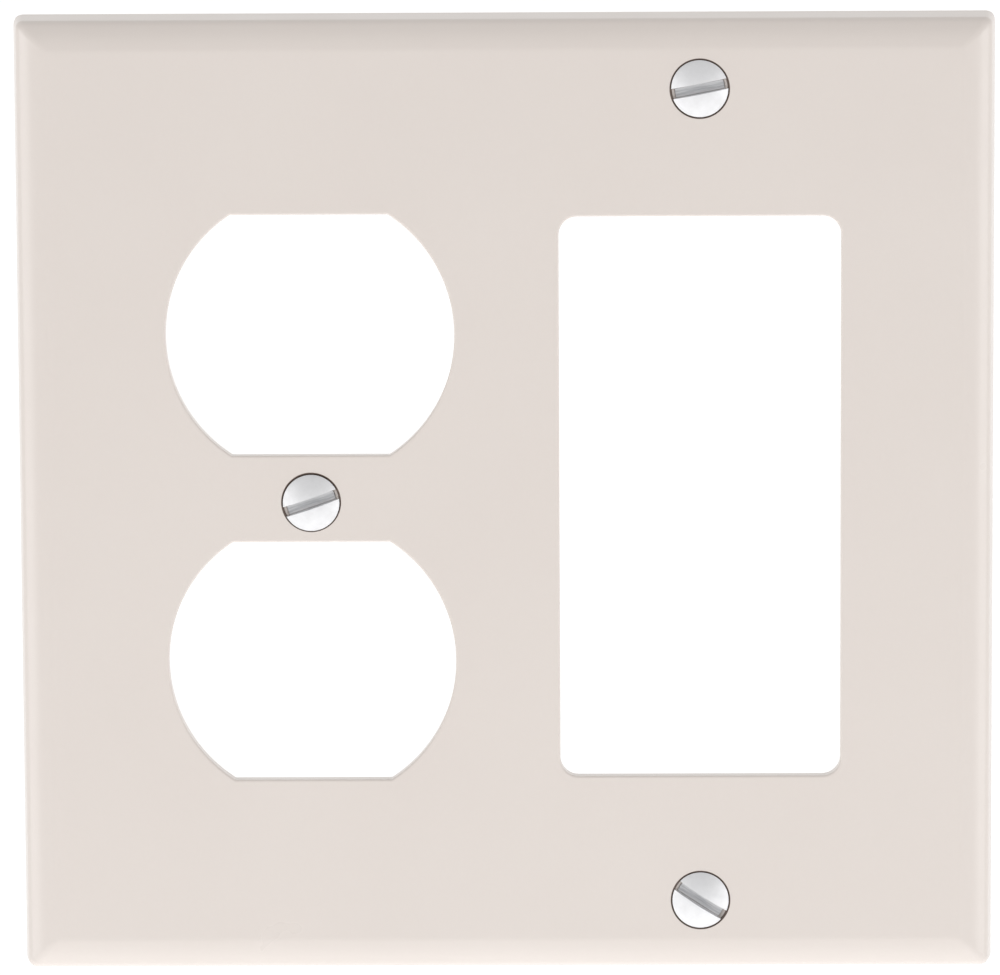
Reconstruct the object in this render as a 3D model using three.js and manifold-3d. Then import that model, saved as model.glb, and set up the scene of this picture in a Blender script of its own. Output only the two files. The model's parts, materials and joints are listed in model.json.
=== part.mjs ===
// Two-gang wall plate cover: a moulded faceplate with a duplex-receptacle gang
// on the left and a decorator gang on the right, its three slotted oval-head
// mounting screws, and the thin retaining washer behind the panel that keeps
// each screw in its hole.
//
// Millimetres. The plate stands upright as it does on a wall: +Z is up, +X is
// to the right as seen from the room, and the room is towards -Y. The origin is
// the plate's centre on the wall plane, which the back rim touches.

import * as THREE from 'three';
import { mergeVertices } from 'three/addons/utils/BufferGeometryUtils.js';
import Module from 'manifold-3d';

const INCH = 25.4;

// Faceplate: overall size and border.
const plateWidth = 4.5625 * INCH;
const plateHeight = 4.5 * INCH;
const plateDepth = 5.6;
const panelThickness = 2.0;
const planCornerRadius = 1.2;
const sideDraft = 0.6; // how far the side leans in by the time it reaches the shoulder
const shoulderDrop = 1.2; // from the face down to the shoulder
const shoulderRadius = 1.2;
const bevelWidth = 3.4; // from the shoulder to the edge of the flat face
const faceEdgeRadius = 1.0;
const rimWidth = 1.8;
const cavityDraft = 0.3;
const cavityCornerRadius = 1.0;

// Gangs and openings.
const gangSpacing = 1.8125 * INCH;
const duplexDiameter = 1.343 * INCH;
const duplexFlatCut = 0.109 * INCH; // cut off the circle at its top and at its bottom
const duplexBridge = 0.406 * INCH; // left between the two duplex openings, for the screw
const decoratorWidth = 1.31 * INCH;
const decoratorHeight = 2.63 * INCH;
const decoratorCornerRadius = 2.2;
const edgeBreak = 0.25; // chamfer round the front edge of every opening

// Mounting screws, No. 6-32 slotted oval heads.
const decoratorScrewSpacing = 3.812 * INCH;
const duplexHoleDrop = 0.4; // the middle hole lies this far below the centre line
const screwLength = 0.5 * INCH; // from the rim of the head to the tip
const threadPitch = INCH / 32;
const threadDiameter = 3.44;
const threadDepth = 0.55 * threadPitch;
const crestFlat = threadPitch / 8;
const headDiameter = 6.7;
const headCrown = 0.95;
const headLand = 0.05;
const headAngle = THREE.MathUtils.degToRad(82);
const slotWidth = 1.2;
const slotDepth = 1.5; // from the top of the crown
const neckLength = 0.6;
const tipInset = 0.06; // the tip is chamfered to this much inside the thread's root
const runOut = 0.6;
const flankAngle = THREE.MathUtils.degToRad(30);

// Fits between the pieces.
const headRingGap = 0.13; // on the radius, head to countersink
const screwHoleClearance = 0.28; // on the radius, thread to hole
const washerBoreClearance = 0.06; // on the radius, thread to washer bore
const washerWallGap = 0.1; // between a resting washer and the wall plane
const duplexScrewSag = 0.07; // the middle screw hangs this low in its hole

// Retaining washers and what is moulded behind the panel.
const washerDiameter = 8.0;
const washerThickness = 0.6;
const bossWall = 0.9; // of the boss, outside the mouth of the countersink
const bossHeight = 0.45;
const ribHeight = 2.0;
const ribThickness = 1.2;
const wellMargin = 1.6; // from a gang's openings to the rib round them
const wellCornerRadius = 5.0;
const crossRibSpacing = 40;
const bossRibSpacing = 20;
const pinMarkDiameter = 5.0;
const pinMarkDepth = 0.2;
const pinMarkInset = 8.5; // from the plate's edge to the middle of a mark
const pinMarkSpacing = 42;

// Modelling values: how finely curves are divided, how far a cutter runs past
// what it cuts, and how far a joined piece sinks into the other.
const arcStep = THREE.MathUtils.degToRad(6);
const lipStep = THREE.MathUtils.degToRad(15);
const roundSegments = 36;
const threadSegments = 12;
const overrun = 1;
const sink = 0.4;
const threadSink = 0.05;

// Places worked out from the sizes above; front faces have the lower y.
const faceY = -plateDepth;
const panelBackY = faceY + panelThickness;
const bossBackY = panelBackY + bossHeight;
const headRadius = headDiameter / 2;
const coneSlope = Math.tan(headAngle / 2);
const sinkRadius = headRadius + headLand * coneSlope + headRingGap; // at the face
const crestRadius = threadDiameter / 2;
const rootRadius = crestRadius - threadDepth;
const tipRadius = rootRadius - tipInset;
const tipChamfer = crestRadius - tipRadius;
const holeRadius = crestRadius + screwHoleClearance;
const duplexFlatSpan = duplexDiameter - 2 * duplexFlatCut;
const duplexPitch = duplexFlatSpan + duplexBridge;
const gangs = [
  { x: -gangSpacing / 2, width: duplexDiameter, height: duplexPitch + duplexFlatSpan },
  { x: gangSpacing / 2, width: decoratorWidth, height: decoratorHeight },
];
const holes = [
  { name: 'duplex', x: -gangSpacing / 2, z: -duplexHoleDrop, sag: duplexScrewSag, slotTurn: 19 },
  { name: 'decorator_upper', x: gangSpacing / 2, z: decoratorScrewSpacing / 2, sag: 0, slotTurn: 11 },
  { name: 'decorator_lower', x: gangSpacing / 2, z: -decoratorScrewSpacing / 2, sag: 0, slotTurn: -33 },
];

const wasm = await Module();
wasm.setup();

// A closed three.js geometry as a solid that can be joined and cut.
function solid(geometry) {
  const bare = geometry.clone();
  bare.deleteAttribute('normal');
  bare.deleteAttribute('uv');
  const merged = mergeVertices(bare);
  const index = merged.index.array;
  const triangles = [];
  for (let i = 0; i < index.length; i += 3) {
    const [a, b, c] = index.slice(i, i + 3);
    if (a !== b && b !== c && c !== a) triangles.push(a, b, c);
  }
  const vertProperties = new Float32Array(merged.attributes.position.array);
  const mesh = new wasm.Mesh({ numProp: 3, vertProperties, triVerts: new Uint32Array(triangles) });
  mesh.merge();
  return new wasm.Manifold(mesh);
}

function geometryOf(body) {
  const mesh = body.getMesh();
  const geometry = new THREE.BufferGeometry();
  geometry.setAttribute('position', new THREE.BufferAttribute(mesh.vertProperties, 3));
  geometry.setIndex(new THREE.BufferAttribute(mesh.triVerts, 1));
  return geometry;
}

// Points on an arc of the circle round centre, from one angle to another.
function arcPoints(centre, radius, from, to, step) {
  const count = Math.max(1, Math.ceil(Math.abs(to - from) / step));
  return Array.from({ length: count + 1 }, (_, i) => {
    const angle = from + ((to - from) * i) / count;
    return new THREE.Vector2(centre.x + radius * Math.cos(angle), centre.y + radius * Math.sin(angle));
  });
}

// An outline through its corners, each rounded by a tangent arc of its radius.
function roundedOutline(corners, step = arcStep) {
  return corners.flatMap(({ x, y, radius }, i) => {
    const corner = new THREE.Vector2(x, y);
    if (!radius) return [corner];
    const before = corners.at(i - 1);
    const after = corners[(i + 1) % corners.length];
    const back = new THREE.Vector2(before.x, before.y).sub(corner).normalize();
    const ahead = new THREE.Vector2(after.x, after.y).sub(corner).normalize();
    const half = Math.acos(back.dot(ahead)) / 2;
    const inwards = back.clone().add(ahead).normalize();
    const centre = corner.clone().addScaledVector(inwards, radius / Math.sin(half));
    const reach = radius / Math.tan(half);
    const start = corner.clone().addScaledVector(back, reach).sub(centre).angle();
    const turn = (Math.PI - 2 * half) * Math.sign(back.cross(ahead)) * -1;
    return arcPoints(centre, radius, start, start + turn, step);
  });
}

function rectangleOutline(width, height, radius, centre = { x: 0, y: 0 }) {
  const [x, y] = [width / 2, height / 2];
  return roundedOutline([
    { x: centre.x - x, y: centre.y - y, radius },
    { x: centre.x + x, y: centre.y - y, radius },
    { x: centre.x + x, y: centre.y + y, radius },
    { x: centre.x - x, y: centre.y + y, radius },
  ]);
}

// A prism over an outline drawn in x and z, from backY forwards to frontY.
function prismFacingRoom(outline, backY, frontY, hole) {
  const shape = new THREE.Shape(outline);
  if (hole) shape.holes.push(new THREE.Path(hole));
  const geometry = new THREE.ExtrudeGeometry(shape, { depth: backY - frontY, bevelEnabled: false });
  return solid(geometry.rotateX(Math.PI / 2).translate(0, backY, 0));
}

// A round solid about an axis along y; the profile lists [radius, y] pairs.
function turned(profile, segments = roundSegments) {
  const points = profile.map(([radius, y]) => new THREE.Vector2(radius, y));
  return solid(new THREE.LatheGeometry(points, segments));
}

// Half-section of the border, mirrored: x runs across the plate, y is depth.
function borderSection(width) {
  const side = width / 2;
  const shoulder = side - sideDraft;
  const face = shoulder - bevelWidth;
  const shoulderY = faceY + shoulderDrop;
  return roundedOutline(
    [
      { x: side, y: 0 },
      { x: -side, y: 0 },
      { x: -shoulder, y: shoulderY, radius: shoulderRadius },
      { x: -face, y: faceY, radius: faceEdgeRadius },
      { x: face, y: faceY, radius: faceEdgeRadius },
      { x: shoulder, y: shoulderY, radius: shoulderRadius },
    ],
    lipStep,
  );
}

// The hollow behind the panel follows the border one wall further in.
function cavitySection(width) {
  const rim = width / 2 - rimWidth;
  const shoulder = rim - cavityDraft;
  const shoulderY = panelBackY + shoulderDrop;
  const slope = shoulderDrop / bevelWidth;
  const flat = shoulder - (shoulderY - panelBackY) / slope;
  return [
    new THREE.Vector2(rim, overrun),
    new THREE.Vector2(-rim, overrun),
    new THREE.Vector2(-rim, 0),
    new THREE.Vector2(-shoulder, shoulderY),
    new THREE.Vector2(-flat, panelBackY),
    new THREE.Vector2(flat, panelBackY),
    new THREE.Vector2(shoulder, shoulderY),
    new THREE.Vector2(rim, 0),
  ];
}

// Where a section run along the plate meets the same kind of section run
// across it, the slopes meet in mitres, as a moulded border does.
function mitred(section, width, height, cornerRadius, backY) {
  const run = (outline, length) => {
    const bar = new THREE.ExtrudeGeometry(new THREE.Shape(outline), { depth: length, bevelEnabled: false });
    return bar.translate(0, 0, -length / 2);
  };
  const along = solid(run(section(width), height + 2 * overrun));
  const across = solid(run(section(height), width + 2 * overrun).rotateY(Math.PI / 2));
  const plan = prismFacingRoom(rectangleOutline(width, height, cornerRadius), backY, faceY - overrun);
  return along.intersect(across).intersect(plan);
}

// One duplex opening: a circle with its top and bottom cut flat.
function duplexOutline(z) {
  const centre = new THREE.Vector2(-gangSpacing / 2, z);
  const flat = Math.asin(duplexFlatSpan / duplexDiameter);
  return [
    ...arcPoints(centre, duplexDiameter / 2, -flat, flat, arcStep),
    ...arcPoints(centre, duplexDiameter / 2, Math.PI - flat, Math.PI + flat, arcStep),
  ];
}

function openingOutlines() {
  const decoratorCentre = { x: gangSpacing / 2, y: 0 };
  return [
    duplexOutline(duplexPitch / 2),
    duplexOutline(-duplexPitch / 2),
    rectangleOutline(decoratorWidth, decoratorHeight, decoratorCornerRadius, decoratorCentre),
  ];
}

// Everything cut for one opening: the way through, and the broken front edge.
function openingCutter(outline) {
  const through = prismFacingRoom(outline, overrun, faceY - overrun);
  const lip = new THREE.ExtrudeGeometry(new THREE.Shape(outline), {
    depth: overrun,
    bevelEnabled: true,
    bevelThickness: edgeBreak,
    bevelSize: edgeBreak,
    bevelSegments: 1,
  });
  return through.add(solid(lip.rotateX(Math.PI / 2).translate(0, faceY, 0)));
}

// The screw hole and its countersink, which opens towards the room.
function screwHoleCutter({ x, z }) {
  const coneEnd = faceY + (sinkRadius - holeRadius) / coneSlope;
  return turned([
    [0, faceY - overrun],
    [sinkRadius + overrun * coneSlope, faceY - overrun],
    [holeRadius, coneEnd],
    [holeRadius, overrun],
    [0, overrun],
  ]).translate([x, 0, z]);
}

function boss({ x, z }) {
  const radius = sinkRadius + bossWall;
  return turned([
    [0, panelBackY - sink],
    [radius, panelBackY - sink],
    [radius, bossBackY],
    [0, bossBackY],
  ]).translate([x, 0, z]);
}

// A straight rib between two points of the panel's back.
function rib(from, to) {
  const [width, height] = [Math.abs(to.x - from.x) + ribThickness, Math.abs(to.z - from.z) + ribThickness];
  const bar = new THREE.BoxGeometry(width, ribHeight + sink, height);
  const y = panelBackY + (ribHeight - sink) / 2;
  return solid(bar.translate((from.x + to.x) / 2, y, (from.z + to.z) / 2));
}

// Ribs: a rib round the device in each gang, one down the middle, and short
// ones that tie them to the walls. All have their tops at one level.
function ribs() {
  const wallX = plateWidth / 2 - rimWidth;
  const wallZ = plateHeight / 2 - rimWidth;
  const made = [rib({ x: 0, z: -wallZ }, { x: 0, z: wallZ })];
  for (const { x, width, height } of gangs) {
    const side = Math.sign(x);
    const wellX = (width + ribThickness) / 2 + wellMargin;
    const wellZ = (height + ribThickness) / 2 + wellMargin;
    const frame = (grow) =>
      rectangleOutline(2 * wellX + grow, 2 * wellZ + grow, wellCornerRadius + grow / 2, { x, y: 0 });
    const top = panelBackY + ribHeight;
    made.push(prismFacingRoom(frame(ribThickness), top, panelBackY - sink, frame(-ribThickness)));
    for (const end of [-1, 1]) {
      const z = (end * crossRibSpacing) / 2;
      made.push(rib({ x: 0, z }, { x: x - side * wellX, z }));
      made.push(rib({ x: x + side * wellX, z }, { x: side * wallX, z }));
      for (const ribX of [x - bossRibSpacing / 2, x + bossRibSpacing / 2]) {
        made.push(rib({ x: ribX, z: end * wellZ }, { x: ribX, z: end * wallZ }));
      }
    }
  }
  return made;
}

// Shallow round marks that the mould's ejector pins leave in the panel's back.
function pinMarks() {
  const x = plateWidth / 2 - pinMarkInset;
  return [-1, 1].flatMap((side) =>
    [-1, 0, 1].map((row) =>
      turned([
        [0, panelBackY - pinMarkDepth],
        [pinMarkDiameter / 2, panelBackY - pinMarkDepth],
        [pinMarkDiameter / 2, panelBackY + overrun],
        [0, panelBackY + overrun],
      ]).translate([side * x, 0, row * pinMarkSpacing]),
    ),
  );
}

function faceplateSolid() {
  let body = mitred(borderSection, plateWidth, plateHeight, planCornerRadius, 0);
  const [cavityWidth, cavityHeight] = [plateWidth - 2 * rimWidth, plateHeight - 2 * rimWidth];
  const cavityPlan = prismFacingRoom(
    rectangleOutline(cavityWidth, cavityHeight, cavityCornerRadius),
    overrun,
    panelBackY - overrun,
  );
  const hollow = mitred(cavitySection, plateWidth, plateHeight, 0, overrun).intersect(cavityPlan);
  body = body.subtract(hollow);
  for (const piece of [...ribs(), ...holes.map(boss)]) body = body.add(piece);
  const cutters = [...openingOutlines().map(openingCutter), ...holes.map(screwHoleCutter), ...pinMarks()];
  for (const cutter of cutters) body = body.subtract(cutter);
  return body;
}

// The thread's ridge: a straight bar of the thread's section wrapped into a
// right-hand helix about y, from the tip towards the head. The bar's length is
// counted in turns, a whole number, so its steps line up with the shank's sides.
function threadRidge(tipY, headY) {
  const turns = Math.ceil((tipY - headY) / threadPitch) + 1;
  const startY = tipY + threadPitch / 2;
  const base = rootRadius - threadSink;
  const halfCrest = crestFlat / 2;
  const halfBase = halfCrest + (crestRadius - base) * Math.tan(flankAngle);
  const section = new THREE.Shape([
    new THREE.Vector2(base, -halfBase),
    new THREE.Vector2(crestRadius, -halfCrest),
    new THREE.Vector2(crestRadius, halfCrest),
    new THREE.Vector2(base, halfBase),
  ]);
  const steps = turns * threadSegments;
  const bar = new THREE.ExtrudeGeometry(section, { depth: turns, steps, bevelEnabled: false });
  const place = bar.attributes.position;
  for (let i = 0; i < place.count; i += 1) {
    const [radius, along, turn] = [place.getX(i), place.getY(i), place.getZ(i)];
    const angle = -2 * Math.PI * turn;
    place.setXYZ(i, radius * Math.sin(angle), startY + along - threadPitch * turn, radius * Math.cos(angle));
  }
  return solid(bar);
}

// A screw stands on its own axis, with the rim of its head at y = 0, its crown
// towards -y and its tip towards +y.
function screwSolid() {
  const crownRadius = (headRadius ** 2 + headCrown ** 2) / (2 * headCrown);
  const rimAngle = Math.asin(headRadius / crownRadius);
  const crown = arcPoints({ x: 0, y: 0 }, crownRadius, 0, rimAngle, arcStep);
  const neckY = headLand + (headRadius - rootRadius) / coneSlope;
  const threadY = neckY + neckLength;
  const head = turned([
    ...crown.map((point) => [point.y, crownRadius - headCrown - point.x]),
    [headRadius, headLand],
    [rootRadius, neckY],
    [rootRadius, neckY + sink],
    [0, neckY + sink],
  ]);
  const shank = turned(
    [
      [0, neckY],
      [rootRadius, neckY],
      [rootRadius, screwLength - tipInset],
      [tipRadius, screwLength],
      [0, screwLength],
    ],
    threadSegments,
  );
  const spare = threadPitch / 2;
  const envelope = turned(
    [
      [0, threadY],
      [rootRadius, threadY],
      [crestRadius + spare, threadY + runOut],
      [crestRadius + spare, screwLength - tipChamfer - spare],
      [tipRadius, screwLength],
      [0, screwLength],
    ],
    threadSegments,
  );
  const thread = threadRidge(screwLength, threadY).intersect(envelope);
  const slotFloor = slotDepth - headCrown;
  const slot = new THREE.BoxGeometry(headDiameter + overrun, slotDepth + overrun, slotWidth);
  const slotCutter = solid(slot.translate(0, slotFloor - (slotDepth + overrun) / 2, 0));
  return head.add(shank).add(thread).subtract(slotCutter);
}

function washerSolid() {
  const bore = crestRadius + washerBoreClearance;
  const rim = washerDiameter / 2;
  return turned([
    [bore, 0],
    [rim, 0],
    [rim, washerThickness],
    [bore, washerThickness],
    [bore, 0],
  ]);
}

const almondPlastic = () => new THREE.MeshStandardMaterial({ color: 0xdfd7d0, roughness: 0.28, metalness: 0 });
const platedSteel = () => new THREE.MeshStandardMaterial({ color: 0xd9dadb, roughness: 0.3, metalness: 1 });
const nylon = () => new THREE.MeshStandardMaterial({ color: 0xf1eee6, roughness: 0.5, metalness: 0 });

function named(name, body, material) {
  const mesh = new THREE.Mesh(geometryOf(body), material);
  mesh.name = name;
  return mesh;
}

const cover = new THREE.Group();
cover.add(named('faceplate', faceplateSolid(), almondPlastic()));

for (const { name, x, z, sag, slotTurn } of holes) {
  const fastening = new THREE.Group();
  fastening.position.set(x, 0, z - sag);

  const screw = named(`${name}_screw`, screwSolid(), platedSteel());
  screw.position.y = faceY;
  screw.rotation.y = -THREE.MathUtils.degToRad(slotTurn);

  const washer = named(`${name}_washer`, washerSolid(), nylon());
  washer.position.y = -washerWallGap - washerThickness;

  fastening.add(screw, washer);
  cover.add(fastening);
}

export default cover;
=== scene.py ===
"""Looks of the two-gang wall plate cover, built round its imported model.

The moulded faceplate, the three mounting screws and the three retaining
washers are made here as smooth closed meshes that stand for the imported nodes.
Sizes are in millimetres and every mesh is written in metres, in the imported
model's frame: +Z up the wall, +X to the right and -Y out into the room.
"""

from __future__ import annotations

import json
import logging
import math
from dataclasses import dataclass, field
from enum import Enum

import bmesh
import bpy
import numpy as np
from mathutils import Matrix, Vector
from mathutils.geometry import delaunay_2d_cdt

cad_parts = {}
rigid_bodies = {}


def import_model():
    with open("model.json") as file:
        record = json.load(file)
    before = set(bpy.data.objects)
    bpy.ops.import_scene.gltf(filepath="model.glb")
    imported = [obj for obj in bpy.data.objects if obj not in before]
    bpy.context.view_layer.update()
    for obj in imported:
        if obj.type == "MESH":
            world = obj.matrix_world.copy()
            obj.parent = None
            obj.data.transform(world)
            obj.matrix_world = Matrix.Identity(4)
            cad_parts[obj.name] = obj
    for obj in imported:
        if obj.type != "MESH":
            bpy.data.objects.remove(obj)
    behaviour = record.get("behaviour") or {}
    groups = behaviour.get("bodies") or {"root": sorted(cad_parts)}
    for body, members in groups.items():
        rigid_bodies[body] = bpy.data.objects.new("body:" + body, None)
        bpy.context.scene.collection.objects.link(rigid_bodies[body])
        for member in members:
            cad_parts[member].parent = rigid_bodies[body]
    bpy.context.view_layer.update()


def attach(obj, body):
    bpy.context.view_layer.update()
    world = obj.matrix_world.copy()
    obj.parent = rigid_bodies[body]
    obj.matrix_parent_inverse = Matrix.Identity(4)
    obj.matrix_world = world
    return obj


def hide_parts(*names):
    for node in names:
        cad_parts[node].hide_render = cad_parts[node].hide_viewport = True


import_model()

MM = 0.001
INCH = 25.4
log = logging.getLogger("wall_plate_cover")


class Slot(Enum):
    """The record's material slots."""

    ALMOND = "almond_plastic"
    STEEL = "plated_steel"
    NYLON = "nylon"


class Gang(Enum):
    """Which side of the plate a gang lies on, as the sign of its x."""

    DUPLEX = -1
    DECORATOR = 1


# ---------------------------------------------------------------- outlines


@dataclass(frozen=True)
class Outline:
    """A closed outline in the plate's plane with its outward normals.

    Attributes:
        points: Places round the outline, one row of x and z each.
        normals: Unit normals at those places, pointing out of the outline.
    """

    points: np.ndarray
    normals: np.ndarray

    @staticmethod
    def circle(x: float, z: float, radius: float, segments: int) -> "Outline":
        """Points at even angles on a circle.

        Args:
            x: Middle of the circle across the plate.
            z: Middle of the circle up the plate.
            radius: Radius of the circle.
            segments: How many points go round it.

        Returns:
            The circle's outline.
        """
        angle = np.linspace(0, 2 * np.pi, segments, endpoint=False)
        normals = np.stack([np.cos(angle), np.sin(angle)], axis=1)
        return Outline(np.array([x, z]) + radius * normals, normals)

    @staticmethod
    def rectangle(
        x: float, z: float, width: float, height: float, radius: float, steps: int
    ) -> "Outline":
        """A rectangle whose corners are quarter circles.

        Each corner's middle lies one radius in from both sides, and its
        points stand one radius from there, at even angles over a quarter turn.

        Args:
            x: Middle across the plate.
            z: Middle up the plate.
            width: Size across the plate.
            height: Size up the plate.
            radius: Radius of the corners.
            steps: Segments in each corner.

        Returns:
            The rectangle's outline.
        """
        quarter = np.linspace(0, np.pi / 2, steps + 1)
        angle = (np.arange(4)[:, None] * np.pi / 2 + quarter[None, :]).ravel()
        middle_angle = np.repeat((np.arange(4) + 0.5) * np.pi / 2, steps + 1)
        half = np.array([width / 2 - radius, height / 2 - radius])
        quadrant = np.sign(np.stack([np.cos(middle_angle), np.sin(middle_angle)], axis=1))
        middles = np.array([x, z]) + half * quadrant
        normals = np.stack([np.cos(angle), np.sin(angle)], axis=1)
        return Outline(middles + radius * normals, normals)

    @staticmethod
    def clipped_circle(
        x: float, z: float, diameter: float, span: float, corner: float, steps: int
    ) -> "Outline":
        """A circle with its top and bottom cut flat and the corners eased.

        The side arcs share the circle's middle. Each corner is a small arc
        that touches the side arc from inside and the flat cut, so its middle
        lies one corner radius below the cut and the circle's radius less one
        corner radius from the circle's middle.

        Args:
            x: Middle across the plate.
            z: Middle up the plate.
            diameter: Diameter of the circle.
            span: Height left between the two flat cuts.
            corner: Radius of the four eased corners.
            steps: Segments in each side arc.

        Returns:
            The outline of one duplex opening.
        """
        radius = diameter / 2
        lift = math.asin((span / 2 - corner) / (radius - corner))
        side = np.linspace(-lift, lift, steps + 1)
        ease = np.linspace(lift, np.pi / 2, 8)[1:]
        arm = (radius - corner) * np.array([math.cos(lift), math.sin(lift)])
        side_normals = np.stack([np.cos(side), np.sin(side)], axis=1)
        ease_normals = np.stack([np.cos(ease), np.sin(ease)], axis=1)
        mirror = np.array([-1.0, 1.0])
        flip = np.array([1.0, -1.0])
        normals = np.concatenate(
            [
                side_normals,
                ease_normals,
                (ease_normals * mirror)[::-1],
                (side_normals * mirror)[::-1],
                ease_normals * mirror * flip,
                (ease_normals * flip)[::-1],
            ]
        )
        points = np.concatenate(
            [
                radius * side_normals,
                arm + corner * ease_normals,
                ((arm + corner * ease_normals) * mirror)[::-1],
                (radius * side_normals * mirror)[::-1],
                (arm + corner * ease_normals) * mirror * flip,
                ((arm + corner * ease_normals) * flip)[::-1],
            ]
        )
        return Outline(np.array([x, z]) + points, normals)

    def carry(self, profile: np.ndarray) -> np.ndarray:
        """Carries a profile round the outline.

        Ring j holds the outline's points, each moved out along its normal by
        the profile's first number j, at the depth of its second number j.

        Args:
            profile: Rows of distance out of the outline and depth y.

        Returns:
            Rings of points, indexed by ring, place and coordinate.
        """
        plan = self.points[None] + profile[:, 0, None, None] * self.normals[None]
        depth = np.broadcast_to(profile[:, 1, None], plan.shape[:2])
        return np.stack([plan[..., 0], depth, plan[..., 1]], axis=-1)


def rounded_profile(corners: list[tuple[float, float, float]], step: float = 9.0) -> np.ndarray:
    """Runs a line through corners, each turned by an arc that touches both sides.

    Args:
        corners: Each corner's two coordinates and the radius of its arc, which
            is nought where the line starts and ends.
        step: Largest angle of one segment of an arc, in degrees.

    Returns:
        Points along the line.
    """
    places = np.array([corner[:2] for corner in corners])
    made = [places[:1]]
    for before, corner, after, (_, _, radius) in zip(places, places[1:], places[2:], corners[1:-1]):
        back = (before - corner) / np.linalg.norm(before - corner)
        ahead = (after - corner) / np.linalg.norm(after - corner)
        half = math.acos(float(np.clip(back @ ahead, -1, 1))) / 2
        inward = (back + ahead) / np.linalg.norm(back + ahead)
        middle = corner + inward * radius / math.sin(half)
        start = corner + back * radius / math.tan(half) - middle
        end = corner + ahead * radius / math.tan(half) - middle
        turn = math.pi - 2 * half
        count = max(2, math.ceil(math.degrees(turn) / step))
        share = np.linspace(0, 1, count + 1)[:, None]
        arc = np.sin((1 - share) * turn) * start + np.sin(share * turn) * end
        made.append(middle + arc / math.sin(turn))
    made.append(places[-1:])
    return np.concatenate(made)


# ------------------------------------------------------------------ meshes


class Shell:
    """Gathers rings of points and the faces between them into one closed mesh."""

    def __init__(self) -> None:
        """Starts with no points and no faces."""
        self.blocks: list[np.ndarray] = []
        self.faces: list[np.ndarray] = []
        self.count = 0

    def add(self, points: np.ndarray) -> np.ndarray:
        """Adds points and gives their numbers.

        Args:
            points: Places in millimetres, of any leading shape.

        Returns:
            The numbers of the points, in the same leading shape.
        """
        flat = points.reshape(-1, 3)
        self.blocks.append(flat)
        numbers = np.arange(self.count, self.count + len(flat)).reshape(points.shape[:-1])
        self.count += len(flat)
        return numbers

    def strip(self, rings: np.ndarray) -> np.ndarray:
        """Joins closed rings one to the next with four-sided faces.

        Args:
            rings: Points indexed by ring, place and coordinate.

        Returns:
            The numbers of the points of every ring.
        """
        numbers = self.add(rings)
        wrapped = np.roll(numbers, -1, axis=1)
        quads = np.stack([numbers[:-1], wrapped[:-1], wrapped[1:], numbers[1:]], axis=-1)
        self.faces.append(quads.reshape(-1, 4))
        return numbers

    def capped(self, rings: np.ndarray, name: str) -> bpy.types.Mesh:
        """Joins closed rings, closes both ends with a face and makes the mesh.

        Args:
            rings: Points indexed by ring, place and coordinate.
            name: Name of the mesh.

        Returns:
            The closed mesh.
        """
        numbers = self.strip(rings)
        self.faces += [numbers[:1], numbers[-1:, ::-1]]
        return self.mesh(name)

    def fill(self, outer: np.ndarray, holes: list[np.ndarray]) -> None:
        """Fills the flat space inside one ring and outside others with triangles.

        The other rings bulge outwards all round, so a triangle with all three
        corners on one of them lies inside it and is left out.

        Args:
            outer: Numbers of the ring round the space.
            holes: Numbers of the rings cut out of it.
        """
        places = np.concatenate(self.blocks)
        rings = [outer, *holes]
        numbers = np.concatenate(rings)
        edges = []
        start = 0
        for ring in rings:
            own = np.arange(start, start + len(ring))
            edges += np.stack([own, np.roll(own, -1)], axis=1).tolist()
            start += len(ring)
        plan = [Vector((x, z)) for x, z in places[numbers][:, [0, 2]]]
        _, _, triangles, originals, _, _ = delaunay_2d_cdt(plan, edges, [], 2, 1e-6)
        source = np.array([found[0] for found in originals])[np.array(triangles)]
        owner = np.repeat(np.arange(len(rings)), [len(ring) for ring in rings])[source]
        inside = (owner == owner[:, :1]).all(axis=1) & (owner[:, 0] > 0)
        self.faces.append(numbers[source[~inside]])

    def mesh(self, name: str) -> bpy.types.Mesh:
        """Writes the shell as a mesh with its faces turned outwards.

        Args:
            name: Name of the mesh.

        Returns:
            The mesh, in metres.
        """
        points = np.concatenate(self.blocks) * MM
        faces = [face for block in self.faces for face in block.tolist()]
        mesh = bpy.data.meshes.new(name)
        mesh.from_pydata(points.tolist(), [], faces)
        work = bmesh.new()
        work.from_mesh(mesh)
        bmesh.ops.remove_doubles(work, verts=work.verts, dist=2e-7)
        bmesh.ops.dissolve_degenerate(work, edges=work.edges, dist=1e-8)
        bmesh.ops.recalc_face_normals(work, faces=work.faces)
        work.to_mesh(mesh)
        work.free()
        return mesh


class Cut(Enum):
    """How a second solid changes the first."""

    JOIN = "UNION"
    REMOVE = "DIFFERENCE"


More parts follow.
